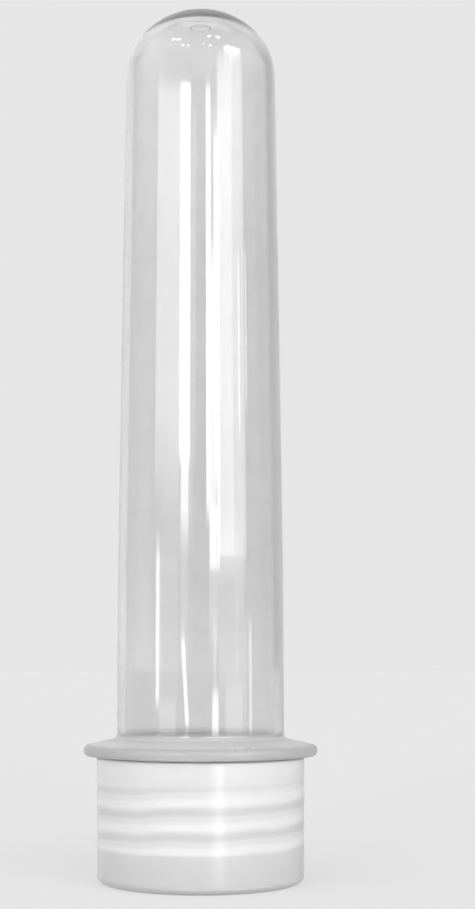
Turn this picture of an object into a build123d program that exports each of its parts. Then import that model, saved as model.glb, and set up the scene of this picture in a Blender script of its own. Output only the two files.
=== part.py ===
from build123d import *

import os
from math import atan2, cos, degrees, radians, sin, tan

# A clear moulded test tube with a screw cap, standing on its cap with the round end up.
# Z is up and runs along the axis. The origin is the centre of the cap's underside.
# Three pieces: the tube (round end, body, support flange and threaded neck in one moulding),
# the screw cap that it stands on, and the soft sealing liner that lies inside the cap.

# ---- Driving dimensions, in millimetres and degrees ----

overall_height = 127.85         # underside of the cap to the gate mark on the round end

# tube
tube_radius = 11.85             # outside, on the straight stretch above the flange
tube_wall = 1.2
straight_length = 25.0          # flange to where the body starts to taper
body_taper = 0.5                # degrees a side, towards the round end
dome_flattening = 2.0           # how much lower the round end is than the tube's radius
dome_shoulder_drop = 1.2        # and how much smaller its shoulder's radius is than that
dome_tip_wall = 2.0
gate_mark_radius = 1.6
gate_mark_height = 0.1

# support flange
flange_overhang = 1.8           # past the cap's mouth
flange_rim_thickness = 1.4
flange_root_thickness = 2.45
flange_rim_rounding = 0.65
flange_root_fillet = 0.8

# threaded neck
neck_length = 15.2              # lip to flange
neck_wall = 1.8                 # under the thread
lip_rounding = 0.4
thread_pitch = 3.18
thread_height = 0.85
thread_foot = 1.7               # width of the ridge where it leaves the neck
thread_crest = 0.8              # width of the ridge at its top
thread_rounding = 0.2
thread_run_in = 22.0            # degrees over which each end of a ridge slopes away
neck_thread_start = 2.7         # lip to the middle of the ridge where it begins
neck_thread_end = 4.1           # flange to the middle of the ridge where it ends
neck_thread_angle = 140.0       # where it begins, in degrees about Z from +X towards +Y

# screw cap
cap_plate = 1.2
cap_wall = 1.0                  # at the closed end
cap_draft = 0.7                 # degrees
cap_corner_rounding = 1.1
cap_mouth_rounding = 0.3
cap_to_flange_gap = 0.2
cap_thread_lag = 70.0           # where its ridge begins, in degrees past the neck's
cap_thread_end = 3.0            # mouth to the middle of the ridge where it ends
recess_margin = 1.6             # rim left round the recess in the underside
recess_depth = 0.25
recess_mark_radius = 1.2
recess_mark_height = 0.15

# sealing liner
liner_thickness = 1.0
liner_edge_gap = 0.3            # to the cap's wall all round
liner_chamfer = 0.15
bead_height = 0.45              # how far the bead that keeps the liner in stands out
bead_gap = 0.1                  # liner to bead

# clearances of the thread
radial_clearance = 0.2          # crest to root, both ways
flank_clearance = 0.15          # along the axis, on the flank that carries the load

# ---- Places and sizes that follow ----

bore_radius = tube_radius - tube_wall
neck_root_radius = bore_radius + neck_wall
neck_crest_radius = neck_root_radius + thread_height
cap_inner_radius = neck_crest_radius + radial_clearance
cap_crest_radius = neck_root_radius + radial_clearance
cap_base_radius = cap_inner_radius + cap_wall

lip_z = cap_plate + liner_thickness
flange_z = lip_z + neck_length
cap_height = flange_z - cap_to_flange_gap
cap_mouth_radius = cap_base_radius + cap_height * tan(radians(cap_draft))
flange_radius = cap_mouth_radius + flange_overhang
flange_top_z = flange_z + flange_root_thickness
taper_z = flange_top_z + straight_length
dome_height = tube_radius - dome_flattening
dome_shoulder_radius = dome_height - dome_shoulder_drop
dome_tip_z = overall_height - gate_mark_height
dome_z = dome_tip_z - dome_height
dome_radius = tube_radius - (dome_z - taper_z) * tan(radians(body_taper))

liner_radius = cap_inner_radius - liner_edge_gap
recess_radius = cap_base_radius - cap_corner_rounding - recess_margin

# The cap's ridge bears on the flange side of the neck's ridge, so that screwing the cap on
# pulls the lip against the liner.
flank_slope = (thread_foot - thread_crest) / 2 / thread_height
ridge_offset = thread_foot - flank_slope * (thread_height + radial_clearance) + flank_clearance
ridge_sink = 0.3                # how far a ridge reaches into the wall that carries it
neck_ridge_z = lip_z + neck_thread_start
neck_thread_turns = (flange_z - neck_thread_end - neck_ridge_z) / thread_pitch
cap_ridge_z = neck_ridge_z + ridge_offset + thread_pitch * cap_thread_lag / 360
cap_thread_turns = (cap_height - cap_thread_end - cap_ridge_z) / thread_pitch

near = 0.01                     # corners within this distance of a position lie at it


def corners_at(sketch, axis, position):
    """The corners of a sketch that lie at one position along an axis."""
    return sketch.vertices().filter_by_position(axis, position - near, position + near)


def ridge_section(wall_radius, outward):
    """The thread ridge cut through the axis, standing on a wall; its middle is at height 0."""
    foot_radius = wall_radius - outward * ridge_sink
    crest_radius = wall_radius + outward * thread_height
    foot_half_width = thread_foot / 2 + ridge_sink * flank_slope
    with BuildSketch(Plane.XZ) as section:
        with BuildLine():
            Polyline(
                (foot_radius, -foot_half_width),
                (crest_radius, -thread_crest / 2),
                (crest_radius, thread_crest / 2),
                (foot_radius, foot_half_width),
                close=True,
            )
        make_face()
        fillet(corners_at(section, Axis.X, crest_radius), thread_rounding)
    return section.sketch


def thread_ridge(wall_radius, outward, turns):
    """A helical ridge that begins over +X at height 0 and slopes away into the wall at both ends.

    outward is 1 for a ridge on the outside of a wall and -1 for one on the inside.
    """
    rise = turns * thread_pitch
    foot_radius = wall_radius - outward * ridge_sink / 2
    crest_radius = wall_radius + outward * (thread_height + ridge_sink / 2)
    clear_radius = wall_radius + outward * 3 * thread_height
    with BuildPart() as ridge:
        with BuildLine() as path:
            Helix(pitch=thread_pitch, height=rise, radius=wall_radius)
        sweep(ridge_section(wall_radius, outward), path=path.line, is_frenet=True)
        for end_angle, end_z, inward_turn in ((0, 0, 1), (360 * turns, rise, -1)):
            run_in = radians(inward_turn * thread_run_in)
            foot = radians(end_angle)
            with BuildSketch(Plane.XY.offset(end_z - thread_pitch / 2)):
                with BuildLine():
                    Polyline(
                        (foot_radius * cos(foot), foot_radius * sin(foot)),
                        (crest_radius * cos(foot + run_in), crest_radius * sin(foot + run_in)),
                        (clear_radius * cos(foot + run_in), clear_radius * sin(foot + run_in)),
                        (clear_radius * cos(foot - run_in), clear_radius * sin(foot - run_in)),
                        close=True,
                    )
                make_face()
            extrude(amount=thread_pitch, mode=Mode.SUBTRACT)
    return ridge.part


def dome_profile(side_wall, tip_wall=0):
    """Half the round end's outline: a shoulder arc tangent to a flatter crown arc.

    It is the outside with no walls given, and the inside with them.
    """
    height = dome_height - tip_wall
    shoulder = dome_shoulder_radius - side_wall
    shoulder_x = dome_radius - side_wall - shoulder
    crown = (shoulder_x**2 + height**2 - shoulder**2) / (2 * (height - shoulder))
    crown_z = dome_z + height - crown
    shoulder_turn = degrees(atan2(dome_z - crown_z, shoulder_x))
    CenterArc((shoulder_x, dome_z), shoulder, 0, shoulder_turn)
    CenterArc((0, crown_z), crown, shoulder_turn, 90 - shoulder_turn)


# ---- Tube ----

neck_ridge = thread_ridge(neck_root_radius, 1, neck_thread_turns)
neck_ridge_place = Location((0, 0, neck_ridge_z), (0, 0, neck_thread_angle))

with BuildPart() as tube:
    with BuildSketch(Plane.XZ) as wall:
        with BuildLine():
            Polyline(
                (bore_radius, lip_z),
                (neck_root_radius, lip_z),
                (neck_root_radius, flange_z),
                (flange_radius, flange_z),
                (flange_radius, flange_z + flange_rim_thickness),
                (tube_radius, flange_top_z),
                (tube_radius, taper_z),
                (dome_radius, dome_z),
            )
            dome_profile(0)
            Line((0, dome_tip_z), (0, dome_tip_z - dome_tip_wall))
            dome_profile(tube_wall, dome_tip_wall)
            Polyline(
                (dome_radius - tube_wall, dome_z), (bore_radius, taper_z), (bore_radius, lip_z)
            )
        make_face()
        fillet(corners_at(wall, Axis.Y, lip_z), lip_rounding)
        fillet(corners_at(wall, Axis.X, flange_radius), flange_rim_rounding)
        fillet(corners_at(wall, Axis.Y, flange_top_z), flange_root_fillet)
    revolve(axis=Axis.Z)
    with Locations((0, 0, dome_tip_z - dome_tip_wall / 2)):
        Cylinder(
            gate_mark_radius,
            dome_tip_wall / 2 + gate_mark_height,
            align=(Align.CENTER, Align.CENTER, Align.MIN),
        )
    with Locations(neck_ridge_place):
        add(neck_ridge)
tube.part.label = "tube"

# ---- Screw cap ----

cap_ridge = thread_ridge(cap_inner_radius, -1, cap_thread_turns)
cap_ridge_place = Location((0, 0, cap_ridge_z), (0, 0, neck_thread_angle + cap_thread_lag))
bead_z = lip_z + bead_gap + bead_height

with BuildPart() as screw_cap:
    with BuildSketch(Plane.XZ) as shell:
        with BuildLine():
            Polyline(
                (0, recess_depth),
                (recess_radius, recess_depth),
                (recess_radius, 0),
                (cap_base_radius, 0),
                (cap_mouth_radius, cap_height),
                (cap_inner_radius, cap_height),
                (cap_inner_radius, cap_plate),
                (0, cap_plate),
                close=True,
            )
        make_face()
        fillet(corners_at(shell, Axis.X, cap_base_radius), cap_corner_rounding)
        fillet(corners_at(shell, Axis.Y, cap_height), cap_mouth_rounding)
        with Locations((cap_inner_radius, bead_z)):
            Circle(bead_height)
    revolve(axis=Axis.Z)
    with Locations((0, 0, recess_depth - recess_mark_height)):
        Cylinder(
            recess_mark_radius,
            recess_mark_height + cap_plate / 2,
            align=(Align.CENTER, Align.CENTER, Align.MIN),
        )
    with Locations(cap_ridge_place):
        add(cap_ridge)
screw_cap.part.label = "screw_cap"

# ---- Sealing liner ----

with BuildPart() as cap_liner:
    with BuildSketch(Plane.XY.offset(cap_plate)):
        Circle(liner_radius)
    extrude(amount=liner_thickness)
    chamfer(cap_liner.edges(), liner_chamfer)
cap_liner.part.label = "cap_liner"

os.makedirs("parts", exist_ok=True)
for piece in (tube, screw_cap, cap_liner):
    export_step(piece.part, f"parts/{piece.part.label}.step")
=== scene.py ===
import math
from math import cos, pi, radians, sin, tan

import bmesh
import bpy
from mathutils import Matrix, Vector


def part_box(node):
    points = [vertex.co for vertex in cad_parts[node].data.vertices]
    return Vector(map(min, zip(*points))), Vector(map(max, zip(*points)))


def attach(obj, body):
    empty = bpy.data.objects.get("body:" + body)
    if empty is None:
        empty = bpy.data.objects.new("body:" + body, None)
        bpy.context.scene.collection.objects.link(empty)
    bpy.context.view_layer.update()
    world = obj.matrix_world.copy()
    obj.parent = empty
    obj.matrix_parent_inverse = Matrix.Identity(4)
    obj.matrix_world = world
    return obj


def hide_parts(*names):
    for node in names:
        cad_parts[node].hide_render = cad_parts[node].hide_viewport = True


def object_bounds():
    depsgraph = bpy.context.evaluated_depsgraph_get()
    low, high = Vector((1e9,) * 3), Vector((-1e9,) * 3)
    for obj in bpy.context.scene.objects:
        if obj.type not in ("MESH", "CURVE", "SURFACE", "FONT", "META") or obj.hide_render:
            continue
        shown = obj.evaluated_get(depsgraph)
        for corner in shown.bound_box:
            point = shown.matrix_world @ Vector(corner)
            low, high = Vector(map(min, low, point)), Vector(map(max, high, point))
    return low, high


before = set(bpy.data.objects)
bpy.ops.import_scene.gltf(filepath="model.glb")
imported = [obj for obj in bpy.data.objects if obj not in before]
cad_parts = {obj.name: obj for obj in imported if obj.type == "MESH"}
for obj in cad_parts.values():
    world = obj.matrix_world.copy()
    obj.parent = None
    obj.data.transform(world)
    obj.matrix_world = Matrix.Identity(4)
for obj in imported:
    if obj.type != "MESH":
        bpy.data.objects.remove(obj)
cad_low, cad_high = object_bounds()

# A clear moulded test tube that stands upside down on its translucent screw cap.
# Lengths are metres, and mm turns millimetres into them.

mm = 0.001

# ---- Sizes of the three pieces ----

tube_low, tube_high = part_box("tube")
_, cap_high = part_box("screw_cap")
liner_low, liner_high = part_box("cap_liner")

lip_height = tube_low.z
round_end_top = tube_high.z
flange_radius = tube_high.x
cap_mouth_height = cap_high.z
cap_mouth_radius = cap_high.x
liner_radius = liner_high.x

# tube
body_radius = 11.85 * mm
wall = 1.2 * mm
straight_run = 25 * mm
body_taper = radians(0.5)
round_end_height = body_radius - 2 * mm
shoulder_radius = round_end_height - 1.2 * mm
tip_wall = 2 * mm
gate_mark_radius = 1.6 * mm
gate_mark_height = 0.1 * mm
bore_radius = body_radius - wall

# flange and neck
neck_length = 15.2 * mm
neck_radius = bore_radius + 1.8 * mm
flange_height = lip_height + neck_length
flange_rim = 1.4 * mm
flange_root = 2.45 * mm
flange_rounding = 0.65 * mm
root_fillet = 0.8 * mm
lip_rounding = 0.4 * mm
taper_height = flange_height + flange_root + straight_run
round_end_base = round_end_top - gate_mark_height - round_end_height
round_end_radius = body_radius - (round_end_base - taper_height) * tan(body_taper)

# thread
pitch = 3.18 * mm
ridge_height = 0.85 * mm
ridge_foot = 1.7 * mm
ridge_crest = 0.8 * mm
ridge_run_in = radians(22)
radial_clearance = 0.2 * mm
flank_clearance = 0.15 * mm
neck_ridge_start = lip_height + 2.7 * mm
neck_ridge_angle = radians(140)
cap_lag = radians(70)
flank_slope = (ridge_foot - ridge_crest) / 2 / ridge_height
ridge_offset = ridge_foot - flank_slope * (ridge_height + radial_clearance) + flank_clearance
cap_ridge_start = neck_ridge_start + ridge_offset + pitch * cap_lag / (2 * pi)
neck_turns = (flange_height - 4.1 * mm - neck_ridge_start) / pitch
cap_turns = (cap_mouth_height - 3.0 * mm - cap_ridge_start) / pitch

# cap
cap_plate = liner_low.z
cap_bore_radius = neck_radius + ridge_height + radial_clearance
cap_foot_radius = cap_bore_radius + 1.0 * mm
cap_corner = 1.1 * mm
mouth_rounding = 0.3 * mm
recess_radius = cap_foot_radius - cap_corner - 1.6 * mm
recess_depth = 0.25 * mm
recess_mark_radius = 1.2 * mm
recess_mark_height = 0.15 * mm
bead = 0.45 * mm
bead_height = liner_high.z + 0.1 * mm + bead

# liner
liner_edge = 0.15 * mm


# ---- Node trees ----


class Value:
    """What a node puts out. Arithmetic on it adds Math nodes to its tree."""

    def __init__(self, nodes, socket):
        self.nodes = nodes
        self.socket = socket

    def maths(self, operation, *values):
        settings = {"operation": operation}
        return self.nodes.add("ShaderNodeMath", settings, dict(enumerate(values)))

    def __add__(self, other):
        return self.maths("ADD", self, other)

    def __radd__(self, other):
        return self.maths("ADD", other, self)

    def __sub__(self, other):
        return self.maths("SUBTRACT", self, other)

    def __rsub__(self, other):
        return self.maths("SUBTRACT", other, self)

    def __mul__(self, other):
        return self.maths("MULTIPLY", self, other)

    def __rmul__(self, other):
        return self.maths("MULTIPLY", other, self)

    def __truediv__(self, other):
        return self.maths("DIVIDE", self, other)

    def __abs__(self):
        return self.maths("ABSOLUTE", self)


class Nodes:
    """One node tree, and the one way in which nodes are added to it."""

    def __init__(self, tree):
        self.tree = tree
        tree.nodes.clear()

    def add(self, kind, settings=None, sockets=None, out=0):
        """Adds a node: its settings first, then its sockets by name or number. Gives one output."""
        node = self.tree.nodes.new(kind)
        for name, setting in (settings or {}).items():
            if name == "stops":
                self.set_stops(node.color_ramp, setting)
            else:
                setattr(node, name, setting)
        for name, value in (sockets or {}).items():
            socket = node.inputs[name]
            if isinstance(value, Value):
                self.tree.links.new(value.socket, socket)
            else:
                socket.default_value = value
        return Value(self, node.outputs[out]) if node.outputs else node

    @staticmethod
    def set_stops(ramp, stops):
        while len(ramp.elements) < len(stops):
            ramp.elements.new(1.0)
        for element, (place, colour) in zip(ramp.elements, stops):
            element.position = place
            element.color = colour

    def smooth_step(self, value, start, end):
        """0 where value is at or before start, 1 at or past end, and smooth between."""
        sockets = {"Value": value, "From Min": start, "From Max": end}
        return self.add("ShaderNodeMapRange", {"interpolation_type": "SMOOTHSTEP"}, sockets)

    def other(self, value, out):
        """Another output of the node that a value came from."""
        return Value(self, value.socket.node.outputs[out])


# ---- Outlines ----


def arc(centre, radius, start, end, steps):
    """Points along an arc, both ends included; start and end are in degrees."""
    turn = (end - start) / steps
    angles = [radians(start + turn * step) for step in range(steps + 1)]
    return [(centre[0] + radius * cos(a), centre[1] + radius * sin(a)) for a in angles]


def rounded(before, corner, after, radius, steps=8):
    """Points of the fillet of that radius at a corner between two straight runs."""
    corner = Vector(corner)
    back = (Vector(before) - corner).normalized()
    on = (Vector(after) - corner).normalized()
    half = back.angle(on) / 2
    centre = corner + (back + on).normalized() * (radius / sin(half))
    first = corner + back * (radius / tan(half)) - centre
    last = corner + on * (radius / tan(half)) - centre
    start = math.atan2(first.y, first.x)
    turn = (math.atan2(last.y, last.x) - start + pi) % (2 * pi) - pi
    angles = [start + turn * step / steps for step in range(steps + 1)]
    return [(centre.x + radius * cos(a), centre.y + radius * sin(a)) for a in angles]


def round_end(side_wall, end_wall):
    """Half the round end's outline, from the body to the tip, for the outside or the inside."""
    height = round_end_height - end_wall
    shoulder = shoulder_radius - side_wall
    shoulder_x = round_end_radius - side_wall - shoulder
    crown = (shoulder_x**2 + height**2 - shoulder**2) / (2 * (height - shoulder))
    crown_z = round_end_base + height - crown
    turn = math.degrees(math.atan2(round_end_base - crown_z, shoulder_x))
    points = arc((shoulder_x, round_end_base), shoulder, 0, turn, 24)
    return points + arc((0, crown_z), crown, turn, 90, 24)[1:]


def spaced(outline, gap, tight=(0, 0), tight_gap=None, edge=0.12 * mm):
    """Adds points along the long runs of an outline, and one close to each end of them.

    gap is the widest spacing, and tight_gap is used where a run lies between the two heights.
    """
    points = [outline[0]]
    for start, end in zip(outline, outline[1:]):
        start, end = Vector(start), Vector(end)
        run = end - start
        inside = all(tight[0] - edge <= p.y <= tight[1] + edge for p in (start, end))
        widest = tight_gap if inside and tight_gap else gap
        if run.length > 4 * edge:
            inner_start = start + run.normalized() * edge
            inner_end = end - run.normalized() * edge
            count = max(1, math.ceil((inner_end - inner_start).length / widest))
            points += [inner_start.lerp(inner_end, n / count)[:] for n in range(count + 1)]
        points.append(end[:])
    return points


# ---- Turned and threaded pieces ----


def turning_tree():
    """Geometry nodes that turn an outline about Z and raise a helical ridge on one of its walls."""
    tree = bpy.data.node_groups.new("turned_and_threaded", "GeometryNodeTree")
    nodes = Nodes(tree)
    add = nodes.add
    interface = tree.interface
    interface.new_socket("Geometry", in_out="INPUT", socket_type="NodeSocketGeometry")
    interface.new_socket("Geometry", in_out="OUTPUT", socket_type="NodeSocketGeometry")
    interface.new_socket("Around", in_out="INPUT", socket_type="NodeSocketInt")
    numbers = (
        "Wall Radius", "Ridge Height", "Ridge Foot", "Ridge Crest", "Pitch", "Turns",
        "Start Height", "Start Angle", "Run In",
    )
    for name in numbers:
        interface.new_socket(name, in_out="INPUT", socket_type="NodeSocketFloat")
    interface.new_socket("Material", in_out="INPUT", socket_type="NodeSocketMaterial")

    outline = add("NodeGroupInput")
    given = {name: nodes.other(outline, name) for name in ("Around", "Material", *numbers)}

    # A grid with a row for each point of the outline, bent round the axis
    rows = add("GeometryNodeAttributeDomainSize", {"component": "MESH"}, {"Geometry": outline})
    sockets = {"Vertices X": given["Around"] + 1, "Vertices Y": rows}
    grid = add("GeometryNodeMeshGrid", None, sockets)
    index = add("GeometryNodeInputIndex")
    column = (index / rows).maths("FLOOR", (index + 0.5) / rows)
    row = index - column * rows
    angle = column * (2 * pi) / given["Around"]
    place = add("GeometryNodeInputPosition")
    settings = {"data_type": "FLOAT_VECTOR", "domain": "POINT"}
    sockets = {"Geometry": outline, "Value": place, "Index": row}
    point = add("GeometryNodeSampleIndex", settings, sockets)
    parts = add("ShaderNodeSeparateXYZ", None, {0: point})
    radius = nodes.other(parts, "X")
    height = nodes.other(parts, "Z")

    # The ridge: how far along the thread a point is, and how far from the middle of the ridge
    turn = (angle - given["Start Angle"]) / (2 * pi)
    part_turn = turn - turn.maths("FLOOR", turn)
    turns_up = (height - given["Start Height"]) / given["Pitch"]
    whole_turns = turns_up.maths("ROUND", turns_up - part_turn)
    along = whole_turns + part_turn
    off_middle = abs(height - given["Start Height"] - along * given["Pitch"])
    run_in = given["Run In"] / (2 * pi)
    rise = nodes.smooth_step(off_middle, given["Ridge Foot"] / 2, given["Ridge Crest"] / 2)
    start_slope = nodes.smooth_step(along, 0.0, run_in)
    end_slope = nodes.smooth_step(given["Turns"] - along, 0.0, run_in)
    off_wall = abs(radius - given["Wall Radius"])
    on_wall = off_wall.maths("LESS_THAN", off_wall, 0.002 * mm)
    ridge = given["Ridge Height"] * rise * start_slope * end_slope * on_wall
    threaded = radius + ridge

    across = angle.maths("COSINE", angle) * threaded
    along_y = angle.maths("SINE", angle) * threaded
    position = add("ShaderNodeCombineXYZ", None, {"X": across, "Y": along_y, "Z": height})
    turned = add("GeometryNodeSetPosition", None, {"Geometry": grid, "Position": position})
    closed = add("GeometryNodeMergeByDistance", None, {"Geometry": turned, "Distance": 0.0005 * mm})
    solid = add("GeometryNodeRealizeInstances", None, {"Geometry": closed})
    sockets = {"Geometry": solid, "Material": given["Material"]}
    finished = add("GeometryNodeSetMaterial", None, sockets)
    add("NodeGroupOutput", None, {"Geometry": finished})
    return tree


turning = turning_tree()


def turned(name, outline, material, around=240, **thread):
    """A closed solid of revolution from an outline whose first and last points are on the axis."""
    chain = bpy.data.meshes.new(name + "_outline")
    links = [(n, n + 1) for n in range(len(outline) - 1)]
    chain.from_pydata([(r, 0, z) for r, z in outline], links, [])
    blank = bpy.data.objects.new(name + "_outline", chain)
    bpy.context.collection.objects.link(blank)

    modifier = blank.modifiers.new("turning", "NODES")
    modifier.node_group = turning
    inputs = {"Around": around, "Material": material, "Pitch": pitch, "Run In": ridge_run_in}
    inputs |= {"Ridge Foot": ridge_foot, "Ridge Crest": ridge_crest}
    inputs |= thread
    for item in turning.interface.items_tree:
        if item.in_out == "INPUT" and item.name in inputs:
            modifier[item.identifier] = inputs[item.name]

    shape = blank.evaluated_get(bpy.context.evaluated_depsgraph_get())
    mesh = bpy.data.meshes.new_from_object(shape)
    bpy.data.objects.remove(blank)
    mesh.name = name
    shell = bmesh.new()
    shell.from_mesh(mesh)
    bmesh.ops.recalc_face_normals(shell, faces=shell.faces)
    shell.to_mesh(mesh)
    shell.free()
    mesh.shade_smooth()
    mesh.set_sharp_from_angle(angle=radians(32))
    piece = bpy.data.objects.new(name, mesh)
    bpy.context.collection.objects.link(piece)
    return piece


# ---- Finishes ----

clear_plastic_index = 1.575     # how strongly the tube's plastic bends light
cap_plastic_index = 1.5


def new_material(name):
    material = bpy.data.materials.new(name)
    material.use_nodes = True
    return material, Nodes(material.node_tree)


def stretched(nodes, across, along):
    """Object coordinates for a pattern with so many repeats a metre round and along the piece."""
    place = nodes.add("ShaderNodeTexCoord", None, None, "Object")
    return nodes.add("ShaderNodeMapping", None, {"Vector": place, "Scale": (across, across, along)})


def separated(nodes, vector):
    parts = nodes.add("ShaderNodeSeparateXYZ", None, {0: vector})
    return [nodes.other(parts, axis) for axis in "XYZ"]


def noise(nodes, across, along, detail):
    sockets = {
        "Vector": stretched(nodes, across, along),
        "Scale": 1.0,
        "Detail": detail,
        "Roughness": 0.5,
    }
    return nodes.add("ShaderNodeTexNoise", None, sockets)


def greys(nodes, value, dark, light):
    """A grey between two levels, by a value from 0 to 1."""
    stops = [(0.0, (dark, dark, dark, 1)), (1.0, (light, light, light, 1))]
    return nodes.add("ShaderNodeValToRGB", {"stops": stops}, {"Fac": value})


def clear_moulded_plastic():
    """Clear, glossy plastic with flow lines and light handling marks, hazy in the thick flange,
    with painted shade on the flange's rim and a painted lighter tint low down.
    """
    material, nodes = new_material("clear_moulded_plastic")
    step = nodes.smooth_step
    haze = noise(nodes, 90, 45, 4.0)
    mottle = noise(nodes, 420, 300, 3.0)
    flow = noise(nodes, 520, 14, 2.0)
    orange_peel = noise(nodes, 240, 120, 2.0)
    place = nodes.add("ShaderNodeTexCoord", None, None, "Object")
    height = separated(nodes, place)[2]

    # Where the moulding is thick: the flange, from its underside to the fillet at its root
    root_top = flange_height + flange_root + 1.2 * root_fillet
    below_body = step(height, root_top + 0.5 * mm, root_top - 1.5 * mm)
    above_neck = step(height, flange_height - 0.3 * mm, flange_height)
    thick = below_body * above_neck
    # Painted shade: the hazy layer is darker on the rim, from the flange's underside up to the
    # rim's top
    rim_top = flange_height + flange_rim
    rim = step(height, rim_top + 0.3 * mm, rim_top)

    # Painted light: the tint is lighter low down, which brightens the lower body, the flange and
    # the neck
    painted_light_low_down = step(height, 45 * mm, 25 * mm)
    clouds = step(haze * 0.5 + mottle * 0.5, 0.3, 0.7)
    tint = greys(nodes, 0.5 * clouds + 0.5 * painted_light_low_down, 0.84, 0.955)
    rough = 0.02 + 0.06 * step(haze, 0.35, 0.75) + 0.2 * thick
    sockets = {
        "Height": flow * 0.5 + orange_peel * 0.5,
        "Strength": 0.12,
        "Distance": 0.02 * mm,
    }
    ripples = nodes.add("ShaderNodeBump", None, sockets)
    sockets = {
        "Base Color": tint,
        "Roughness": rough,
        "IOR": clear_plastic_index,
        "Transmission Weight": 0.94,
        "Normal": ripples,
    }
    clear = nodes.add("ShaderNodeBsdfPrincipled", None, sockets)
    # The hazy layer, whose colour carries the painted shade on the rim
    sockets = {
        "Base Color": greys(nodes, mottle * 0.2 + 0.8 - 0.8 * rim, 0.46, 0.8),
        "Roughness": 0.5 + 0.1 * mottle,
        "IOR": clear_plastic_index,
    }
    hazy = nodes.add("ShaderNodeBsdfPrincipled", None, sockets)
    surface = nodes.add("ShaderNodeMixShader", None, {0: 0.5 * thick, 1: clear, 2: hazy})
    nodes.add("ShaderNodeOutputMaterial", None, {"Surface": surface})
    return material


def milky_cap_plastic():
    """Soft milky plastic, satin outside, with painted light and shade: bands that follow the thread
    inside, lighter towards the mouth and darker by the foot.
    """
    material, nodes = new_material("milky_cap_plastic")
    step = nodes.smooth_step
    cloud = noise(nodes, 160, 160, 4.0)
    grain = noise(nodes, 1500, 1500, 2.0)
    place = nodes.add("ShaderNodeTexCoord", None, None, "Object")
    x, y, z = separated(nodes, place)

    # How far a point is above the ridge below it, in turns; the ridge wavers a little
    turn = y.maths("ARCTAN2", y, x) / (2 * pi)
    waver = 0.3 * (noise(nodes, 130, 60, 2.0) - 0.5)
    turns_up = (z - cap_ridge_start) / pitch - (turn - (neck_ridge_angle + cap_lag) / (2 * pi))
    phase = turns_up + waver
    above_ridge = phase - phase.maths("FLOOR", phase)

    # Painted bands of light and shade: painted shade at the ridge, painted light just under half
    # way to the next one
    painted_bands = step(above_ridge, 0.08, 0.4) - 0.5 * step(above_ridge, 0.5, 0.75)
    painted_bands = painted_bands - 0.5 * step(above_ridge, 0.8, 0.97)

    # The plain zones below and above the thread: painted shade by the foot, painted light growing
    # towards the mouth, and the thread's last turn painted lighter
    first = cap_ridge_start - 0.45 * pitch
    last = cap_ridge_start + cap_turns * pitch
    plain_below = step(z, first, first - 0.2 * pitch)
    plain_above = step(z, last - 0.2 * pitch, last + 0.1 * pitch)
    threaded = (1 - plain_below) * (1 - plain_above)
    thread_painted_shading = 0.1 + 0.9 * painted_bands + 0.2 * step(z, last - pitch, last)
    painted_light_at_mouth = 0.65 + 0.35 * step(z, last, cap_mouth_height)
    painted_shade_at_foot = 0.2 * step(z, 1 * mm, first) - 0.05
    # Painted light and shade over the whole cap, then a random cloudiness of the plastic
    cloud_and_painted_shading = threaded * thread_painted_shading + painted_light_at_mouth * plain_above + painted_shade_at_foot * plain_below
    cloud_and_painted_shading = cloud_and_painted_shading + 0.3 * (cloud - 0.5)
    sockets = {"Height": cloud * 0.7 + grain * 0.3, "Strength": 0.2, "Distance": 0.02 * mm}
    satin = nodes.add("ShaderNodeBump", None, sockets)
    sockets = {
        "Base Color": greys(nodes, cloud_and_painted_shading, 0.76, 1.0),
        "Roughness": 0.16 + 0.08 * cloud,
        "IOR": cap_plastic_index,
        "Transmission Weight": 0.52,
        "Normal": satin,
    }
    plastic = nodes.add("ShaderNodeBsdfPrincipled", None, sockets)
    nodes.add("ShaderNodeOutputMaterial", None, {"Surface": plastic})
    return material


def liner_foam():
    """Matte white foam with fine closed cells."""
    material, nodes = new_material("liner_foam")
    sockets = {"Vector": stretched(nodes, 2600, 2600), "Scale": 1.0}
    cells = nodes.add("ShaderNodeTexVoronoi", None, sockets)
    sockets = {"Height": cells, "Strength": 0.3, "Distance": 0.04 * mm}
    dimples = nodes.add("ShaderNodeBump", None, sockets)
    sockets = {
        "Base Color": greys(nodes, nodes.smooth_step(cells, 0.0, 0.7), 0.72, 0.82),
        "Roughness": 0.6 + 0.25 * cells,
        "Normal": dimples,
    }
    foam = nodes.add("ShaderNodeBsdfPrincipled", None, sockets)
    nodes.add("ShaderNodeOutputMaterial", None, {"Surface": foam})
    return material


# ---- The pieces ----


def make_tube():
    flange_top = flange_height + flange_root
    rim_top = flange_height + flange_rim
    inside = round_end(wall, tip_wall)[::-1]
    outside = round_end(0, 0)
    gate_mark_foot = [p for p in outside if p[0] > gate_mark_radius]
    lip_inner = (bore_radius, lip_height)
    lip_outer = (neck_radius, lip_height)
    neck_top = (neck_radius, flange_height)
    rim_low = (flange_radius, flange_height)
    rim_high = (flange_radius, rim_top)
    root = (body_radius, flange_top)
    outline = [
        *inside,
        (bore_radius, taper_height),
        *rounded((bore_radius, taper_height), lip_inner, lip_outer, lip_rounding),
        *rounded(lip_inner, lip_outer, neck_top, lip_rounding),
        neck_top,
        *rounded(neck_top, rim_low, rim_high, flange_rounding),
        *rounded(rim_low, rim_high, root, flange_rounding),
        *rounded(rim_high, root, (body_radius, taper_height), root_fillet),
        (body_radius, taper_height),
        *gate_mark_foot,
        (gate_mark_radius, round_end_top - gate_mark_height),
        (gate_mark_radius, round_end_top),
        (0, round_end_top),
    ]
    neck = (lip_height, flange_height)
    outline = spaced(outline, 3 * mm, tight=neck, tight_gap=0.13 * mm)
    thread = {
        "Wall Radius": neck_radius,
        "Ridge Height": ridge_height,
        "Turns": neck_turns,
        "Start Height": neck_ridge_start,
        "Start Angle": neck_ridge_angle,
    }
    return turned("clear_tube", outline, clear_moulded_plastic(), **thread)


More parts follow.
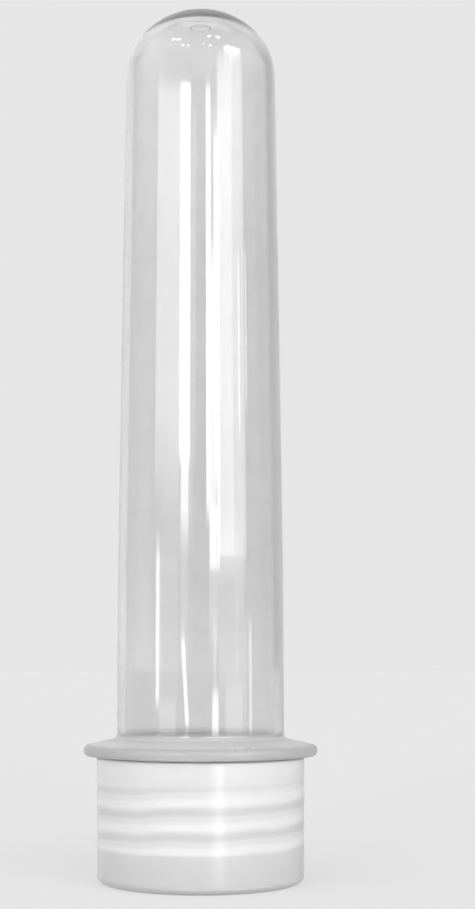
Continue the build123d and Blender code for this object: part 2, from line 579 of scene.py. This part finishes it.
def make_cap():
    foot = (cap_foot_radius, 0)
    mouth_outer = (cap_mouth_radius, cap_mouth_height)
    mouth_inner = (cap_bore_radius, cap_mouth_height)
    plate_corner = (cap_bore_radius, cap_plate)
    outline = [
        (0, recess_depth - recess_mark_height),
        (recess_mark_radius, recess_depth - recess_mark_height),
        (recess_mark_radius, recess_depth),
        (recess_radius, recess_depth),
        (recess_radius, 0),
        *rounded((recess_radius, 0), foot, mouth_outer, cap_corner, 12),
        *rounded(foot, mouth_outer, mouth_inner, mouth_rounding),
        *rounded(mouth_outer, mouth_inner, plate_corner, mouth_rounding),
        *arc((cap_bore_radius, bead_height), bead, 90, 270, 16),
        plate_corner,
        (0, cap_plate),
    ]
    threaded = (bead_height + bead, cap_mouth_height)
    outline = spaced(outline, 1.5 * mm, tight=threaded, tight_gap=0.1 * mm)
    thread = {
        "Wall Radius": cap_bore_radius,
        "Ridge Height": -ridge_height,
        "Turns": cap_turns,
        "Start Height": cap_ridge_start,
        "Start Angle": neck_ridge_angle + cap_lag,
    }
    return turned("milky_screw_cap", outline, milky_cap_plastic(), **thread)


def make_liner():
    low, high = liner_low.z, liner_high.z
    outline = [
        (0, low),
        (liner_radius - liner_edge, low),
        (liner_radius, low + liner_edge),
        (liner_radius, high - liner_edge),
        (liner_radius - liner_edge, high),
        (0, high),
    ]
    return turned("foam_liner", spaced(outline, 1.5 * mm), liner_foam())


# ---- Studio ----

backdrop_grey = 0.791           # what the camera sees of the room behind the object


def make_camera():
    camera = bpy.data.objects.new("camera", bpy.data.cameras.new("camera"))
    bpy.context.collection.objects.link(camera)
    camera.location = (0, -220 * mm, 29.4 * mm)
    camera.rotation_euler = (radians(90 + 8.03), 0, 0)
    camera.data.sensor_width = 36
    camera.data.lens = 60.4
    camera.data.shift_x = 0.0407
    camera.data.clip_start = 10 * mm
    camera.data.clip_end = 100
    bpy.context.scene.camera = camera


def make_floor():
    mesh = bpy.data.meshes.new("floor")
    sheet = bmesh.new()
    bmesh.ops.create_circle(sheet, cap_ends=True, segments=64, radius=30)
    sheet.to_mesh(mesh)
    sheet.free()
    floor = bpy.data.objects.new("floor", mesh)
    bpy.context.collection.objects.link(floor)
    floor.location.z = cad_low.z
    floor.visible_glossy = False
    material, nodes = new_material("pale_floor")
    sockets = {
        "Base Color": (0.25, 0.25, 0.25, 1),
        "Roughness": 1.0,
        "Specular IOR Level": 0.0,
        "Emission Color": (1, 1, 1, 1),
        "Emission Strength": 0.512,
    }
    paint = nodes.add("ShaderNodeBsdfPrincipled", None, sockets)
    nodes.add("ShaderNodeOutputMaterial", None, {"Surface": paint})
    mesh.materials.append(material)


# Windows and lamps, as directions from the object in degrees: to the right of straight behind
# the camera, and up. Each pane gives its left, right, low and high edges, how soft its sides,
# low edge and high edge are, and its strength.
panes = (
    # left window, and its foot
    (-30, -15, 9.5, 22.65, 0.4, 1.2, 0.15, 10),
    (-27.5, -17, 7, 9.5, 0.6, 1.5, 1, 5),
    (-27, -18, 1, 8.5, 1, 1, 1, 0.9),
    # right window: two lights, joined low down
    (8.2, 14.6, 8, 22.4, 0.4, 2, 0.3, 10),
    (19.6, 27, 9, 20.4, 0.4, 4, 0.8, 7.5),
    (14.6, 19.6, 5.5, 15.5, 0.4, 1, 2.5, 6),
    (12.5, 26, 3.9, 6.5, 0.8, 0.3, 1, 6),
    (12.5, 24, 1.4, 4.2, 1, 1, 0.5, 1.4),
    # soft wall light on the left, and its faint foot
    (-66.5, -31, 11, 22.2, 1.5, 5.5, 0.9, 3.2),
    (-56, -34, -1, 4, 4, 1.5, 2, 0.7),
    # the same on the right, brighter beside the window
    (27, 64, 5.5, 22.6, 4, 2.8, 1.6, 3.3),
    (27, 46, 6, 22.6, 3, 2.8, 1.6, 1.9),
    (27, 60, 0, 5, 4, 1.5, 2, 1.0),
    # lamps in a row over it
    (37, 47, 23.85, 29, 2, 0.08, 1, 7),
    (47, 62, 23.66, 27, 2, 0.1, 0.5, 7),
    # narrow lights at its far side
    (56.2, 57.8, 10.5, 16.2, 0.3, 1.5, 0.3, 5),
    (67.8, 69.6, 11.5, 16.2, 0.3, 1.5, 0.3, 5),
    # low strips
    (-63.5, -58.5, -0.8, 4.3, 0.5, 0.8, 2, 7.5),
    (16, 24, -2.35, -1.1, 0.6, 0.25, 0.4, 8),
    (18, 21.5, -1, 1.5, 0.6, 1, 1, 1.2),
    (70, 74.5, -2.5, 1.2, 0.5, 0.3, 1, 3.5),
    (62, 64.5, -2.5, 1.2, 0.5, 0.3, 1, 1.2),
    (17, 24.5, -9, -3.4, 1.2, 0.8, 1, 6),
    (9, 17, -6, -3.4, 2, 1, 1, 1.5),
    (-56, -36, -2.6, -1.6, 4, 0.3, 0.8, 1.6),
    (36, 58, -2.6, -1.2, 4, 0.3, 1.2, 2.2),
)

# A pane whose sides lean: it moves this many degrees to the left for each degree up.
leaning_pane = (-24.2, -19.8, -1.9, 0.6, 0.6, 0.3, 1, 8)
lean = 2.04

# Small lamps above the windows: to the right, up, radius and strength.
lamps = (
    (-48.5, 43, 3.6, 8),
    (-38.5, 42, 3.6, 8),
    (-27.5, 29.5, 2.5, 8),
    (-18.5, 28, 2.2, 8),
    (15.6, 48, 3.6, 7),
    (31.6, 46.5, 4, 8),
    (15, 28.3, 2.4, 8),
    (4.6, 31, 2.5, 2.5),
    (44, 29.5, 3.6, 8),
    (52, 28.5, 3.4, 8),
    (60, 27.5, 3, 6),
)


def make_side_light(name, side, strength):
    """A soft light low at one side, which brightens that side of the cap and shows in nothing."""
    lamp = bpy.data.lights.new(name, "SUN")
    lamp.angle = radians(25)
    lamp.energy = strength
    light = bpy.data.objects.new(name, lamp)
    bpy.context.collection.objects.link(light)
    light.location = (side * 420 * mm, -20 * mm, 75 * mm)      # it points from here to the origin
    light.rotation_euler = (-light.location).to_track_quat("-Z", "Y").to_euler()
    light.visible_camera = False
    light.visible_glossy = False
    light.visible_transmission = False


def surround(step, aside, beyond, up):
    """The brightness of the room's walls, without the windows and lamps.

    aside and beyond are directions in degrees to the right of straight behind the camera and of
    straight behind the object, and up is the direction's height in degrees.
    """
    # dimmer behind the object on the right, in two stages
    stages = 0.07 * step(beyond, 9, 13) + 0.15 * step(beyond, 26, 32)
    light = 0.66 - stages * (step(beyond, 62, 48) * step(up, -14, -8) * step(up, 38, 26))
    # brighter high up on the far side, and behind the object on the left
    light = light + 0.12 * step(up, 38, 45) * step(abs(beyond), 120, 90)
    light = light + 0.12 * step(beyond, -4, -8) * step(beyond, -52, -38)
    # brighter straight behind the object and some way up, in two stages
    ahead = step(abs(beyond), 30, 15)
    stages = 0.1 * step(up, 15, 19) + 0.25 * step(up, 20, 26)
    light = light + ahead * stages * step(up, 40, 34)
    # a pale ceiling
    light = light + 0.5 * step(up, 68, 80)
    # the walls above the windows: dimmer on the right and brighter on the left
    high = step(up, 26, 32) * step(up, 66, 58)
    light = light - 0.3 * high * step(aside, 10, 30) * step(aside, 95, 75)
    return light + 0.25 * high * step(aside, -25, -50) * step(aside, -140, -120)


def make_room():
    """A pale room with windows and lamps behind the camera."""
    world = bpy.data.worlds.new("studio")
    bpy.context.scene.world = world
    world.use_nodes = True
    nodes = Nodes(world.node_tree)
    step = nodes.smooth_step
    x, y, z = separated(nodes, nodes.add("ShaderNodeTexCoord", None, None, "Generated"))
    to_degrees = 180 / pi
    aside = x.maths("ARCTAN2", x, 0.0 - y) * to_degrees
    beyond = y.maths("ARCTAN2", x, y) * to_degrees
    up = z.maths("ARCSINE", z) * to_degrees
    light = surround(step, aside, beyond, up)

    def pane(left, right, low, high, sides, low_soft, high_soft, strength, across=aside):
        width = step(across, left - sides, left) * step(across, right + sides, right)
        height = step(up, low - low_soft, low) * step(up, high + high_soft, high)
        return strength * (width * height)

    def lamp(to_right, upward, radius, strength):
        to_right, upward = radians(to_right), radians(upward)
        flat = cos(upward)
        towards = (flat * sin(to_right), -flat * cos(to_right), sin(upward))
        facing = x * towards[0] + y * towards[1] + z * towards[2]
        return strength * step(facing, cos(radians(radius)), cos(radians(radius * 0.5)))

    windows = pane(*leaning_pane, across=aside + lean * up)
    for values in panes:
        windows = windows + pane(*values)
    for values in lamps:
        windows = windows + lamp(*values)

    # Light that has come through the plastic shows the windows faintly and the far walls paler
    path = nodes.add("ShaderNodeLightPath", None, None, "Transmission Depth")
    through = path.maths("MINIMUM", path, 1)
    light = light + windows * (1 - 0.8 * through)
    light = light + 0.12 * through * step(abs(beyond), 60, 40) * step(up, 26, 20)

    # The backdrop, where nothing stands in front of it
    seen = nodes.other(path, "Is Camera Ray")
    light = light * (1 - seen) + backdrop_grey * seen
    colour = nodes.add("ShaderNodeCombineColor", None, {0: light, 1: light, 2: light})
    glow = nodes.add("ShaderNodeBackground", None, {"Color": colour, "Strength": 1.0})
    nodes.add("ShaderNodeOutputWorld", None, {"Surface": glow})
    bpy.context.scene.view_settings.view_transform = "Standard"


make_camera()
for piece, node, body, slot in (
    (make_tube(), "tube", "tube", "clear_plastic"),
    (make_cap(), "screw_cap", "cap", "translucent_plastic"),
    (make_liner(), "cap_liner", "liner", "liner_foam"),
):
    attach(piece, body)
    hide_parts(node)
make_floor()
make_side_light("left_side_light", -1, 0.5)
make_side_light("right_side_light", 1, 0.3)
make_room()
